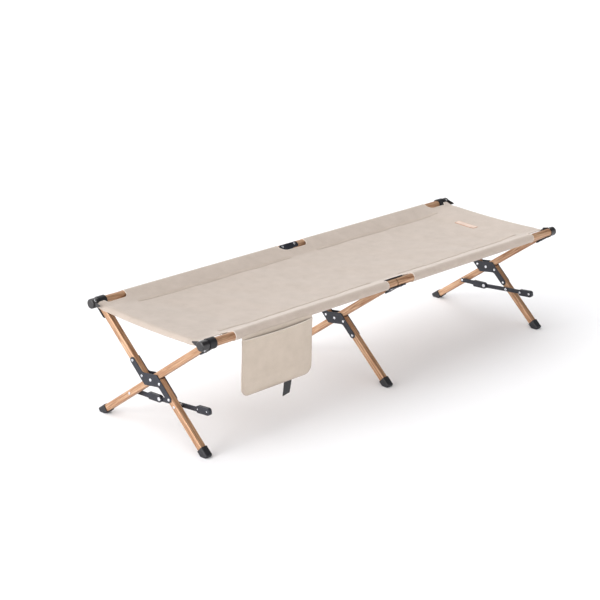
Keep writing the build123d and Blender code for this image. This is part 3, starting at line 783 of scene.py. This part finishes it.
def pocket_panel(name, top, front):
    """The pocket's back cloth, or its front one, which bellies out and dips at the mouth."""
    columns, rows = 64, 44
    piece = grid(name, columns, rows)

    def place(i, j):
        t = j / rows
        z = pocket_height(t, top)
        s = i / columns * 2 - 1
        x = POCKET_MID + s * pocket_half(z)
        y = BACK_Y - CLOTH / 2 + hang(x, z) * ease(top - z, 0.0, 0.05)
        if front:
            y -= front_out(s, t)
            z -= 2.0 * MM * ease(t, 0.8, 1.0) * math.cos(s * math.pi / 2) ** 2
        else:
            y += 2 * MM * ease(z, MOUTH_Z, top)
        return (x, y, z), (x, z)

    lay(piece, columns, rows, place)
    modify(piece, "SOLIDIFY", thickness=CLOTH, offset=0.0)
    smooth(piece, 50)
    # the pocket's cloth carries painted light: a lighter copy of the canvas for the front light it catches
    paint(piece, POCKET_CLOTH_PAINTED_LIGHT)
    return piece


def pocket_edge_route(front, inset=0.0):
    """Points down one side of the pocket, along the bottom and up the other side."""
    heights = [pocket_height(1 - k / 32, MOUTH_Z) for k in range(33)]
    side = [(pocket_half(z) - inset, z) for z in heights]
    left = [(POCKET_MID - half, max(z, POCKET_BASE + inset)) for half, z in side]
    right = [(POCKET_MID + half, max(z, POCKET_BASE + inset)) for half, z in reversed(side)]
    return [(x, BACK_Y - CLOTH / 2 + hang(x, z) * 0.9 - front, z) for x, z in left + right]


def make_pocket():
    """Back and front cloth, piping round the edge, tape along the mouth and the seam inside the piping."""
    back = pocket_panel("pocket_back", BAG_HIGH[2] + 9 * MM, False)
    panel = pocket_panel("pocket_front", MOUTH_Z, True)
    piping = ribbon("pocket_piping", pocket_edge_route(0.8 * MM), 1.7 * MM, CANVAS)
    mouth = []
    for k in range(49):
        s = k / 24 - 1
        x = POCKET_MID + s * pocket_half(MOUTH_Z)
        z = MOUTH_Z - 2.0 * MM * math.cos(s * math.pi / 2) ** 2
        mouth.append((x, BACK_Y - CLOTH / 2 - front_out(s, 1.0), z))
    mouth_tape = ribbon("pocket_mouth_tape", mouth, 1.3 * MM, TAPE)
    seam = [(x, y - 1.3 * MM, z) for x, y, z in pocket_edge_route(2.0 * MM, 6 * MM)]
    threads = stitch_rows("pocket_stitches", [seam])
    return back, panel, piping, mouth_tape, threads


def make_strap():
    """Black webbing hanging behind the pocket, with a slight twist and a sealed end."""
    wide, top, end = STRAP_HIGH[0] - STRAP_LOW[0], STRAP_HIGH[2], STRAP_LOW[2]
    middle = (STRAP_LOW[0] + STRAP_HIGH[0]) / 2
    plane = (STRAP_LOW[1] + STRAP_HIGH[1]) / 2 + 1.5 * MM
    piece = grid("webbing_strap", 12, 24)

    def place(i, j):
        t = j / 24
        z = end + (top - end) * t
        u = (i / 12 - 0.5) * wide
        fall = 1 - t
        skew = -8 * MM * fall ** 1.5
        twist = 4 * MM * fall ** 2 * u / wide
        slant = 3 * MM * fall * u / wide
        return (middle + u + skew, plane + twist, z + slant), (u, z)

    lay(piece, 12, 24, place)
    modify(piece, "SOLIDIFY", thickness=1.5 * MM, offset=0.0)
    modify(piece, "BEVEL", width=0.4 * MM, segments=2, limit_method="ANGLE")
    smooth(piece)
    paint(piece, WEBBING)
    return piece


# --- building the soft pieces and putting them in place of the CAD ones ---
canvas = make_canvas()
binding = notch_edges()
hems = end_hems()
welts = seam_welts()
patch, patch_row = make_patch()
canvas_stitches = stitch_rows("canvas_stitches", canvas_rows())
patch_stitches = stitch_rows("patch_stitches", [patch_row], 4.0 * MM)

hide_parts("canvas_sheet", "front_sleeve_left", "front_sleeve_right",
            "rear_sleeve_left", "rear_sleeve_right")
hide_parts("label_patch")
for piece in (canvas, binding, hems, welts, patch, canvas_stitches, patch_stitches):
    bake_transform(piece)

pocket_back, pocket_front, piping, mouth_tape, pocket_threads = make_pocket()
strap = make_strap()
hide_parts("pocket_bag")
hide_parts("pocket_strap")
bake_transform(pocket_back)
for piece in (pocket_front, piping, mouth_tape, pocket_threads, strap):
    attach(piece, "pocket")

# --- camera, floor and light ---
# a long lens far off, low over the front left corner, and a little rolled
EYE = (-4.4407, MID_Y - 3.9897, 2.3650)
LENS_MM, SENSOR_MM = 103.25, 36.0
AIM_TURN, AIM_DROP, ROLL = math.radians(46.731), math.radians(19.437), math.radians(1.697)
ahead = Vector((math.sin(AIM_TURN) * math.cos(AIM_DROP), math.cos(AIM_TURN) * math.cos(AIM_DROP),
                -math.sin(AIM_DROP)))
level = ahead.cross(Vector((0, 0, 1))).normalized()
upright = level.cross(ahead)
right = level * math.cos(ROLL) + upright * math.sin(ROLL)
top = -level * math.sin(ROLL) + upright * math.cos(ROLL)
lens = bpy.data.cameras.new("camera")
lens.lens, lens.sensor_width = LENS_MM, SENSOR_MM
lens.clip_start, lens.clip_end = 0.1, 100.0
camera = bpy.data.objects.new("camera", lens)
bpy.context.collection.objects.link(camera)
camera.matrix_world = Matrix.Translation(EYE) @ Matrix((right, top, -ahead)).transposed().to_4x4()
bpy.context.scene.camera = camera

clear_selection()
bpy.ops.mesh.primitive_plane_add(size=60)
floor = bpy.context.object
floor.name = "floor"
paper, paper_tree, paper_shader = start_material("studio_floor", 0.95)
paper_shader.inputs["Base Color"].default_value = linear("#FAFAFC")
paint(floor, paper)


def soft_sun(name, source, spread, strength):
    """An even studio light from one direction; spread is how wide the source looks, in degrees."""
    light = bpy.data.lights.new(name, "SUN")
    light.angle, light.energy = math.radians(spread), strength
    made = bpy.data.objects.new(name, light)
    bpy.context.collection.objects.link(made)
    made.rotation_euler = Vector(source).to_track_quat("Z", "Y").to_euler()


soft_sun("rear_top", (-0.3, 0.95, 1.0), 120, 2.75)
soft_sun("left_side", (-1.0, 0.2, 0.2), 40, 2.6)
soft_sun("front_fill", (0.05, -1.0, 0.05), 50, 1.7)
world = bpy.data.worlds.new("studio")
world.use_nodes = True
# white to just above eye level; higher up brighter on the left and darker on the right, so that
# the tubes show a light and a dark face
way = add(world.node_tree, "ShaderNodeSeparateXYZ",
          [("Vector", add(world.node_tree, "ShaderNodeTexCoord").outputs["Generated"])])
wall = add(world.node_tree, "ShaderNodeMapRange", [("Value", way.outputs["X"])])
for key, value in (("From Min", -1.0), ("From Max", 0.7), ("To Min", 0.62), ("To Max", 0.10)):
    wall.inputs[key].default_value = value
rise = add(world.node_tree, "ShaderNodeMapRange", [("Value", way.outputs["Z"])])
for key, value in (("From Min", 0.12), ("From Max", 0.5)):
    rise.inputs[key].default_value = value
glow = add(world.node_tree, "ShaderNodeMix", [("Factor", rise.outputs["Result"]),
                                              ("B", wall.outputs["Result"])], in_A=0.95)
world.node_tree.links.new(glow.outputs["Result"], world.node_tree.nodes["Background"].inputs["Strength"])
world.node_tree.nodes["Background"].inputs["Color"].default_value = linear("#FFFFFF")
bpy.context.scene.world = world
bpy.context.scene.view_settings.view_transform = "Standard"
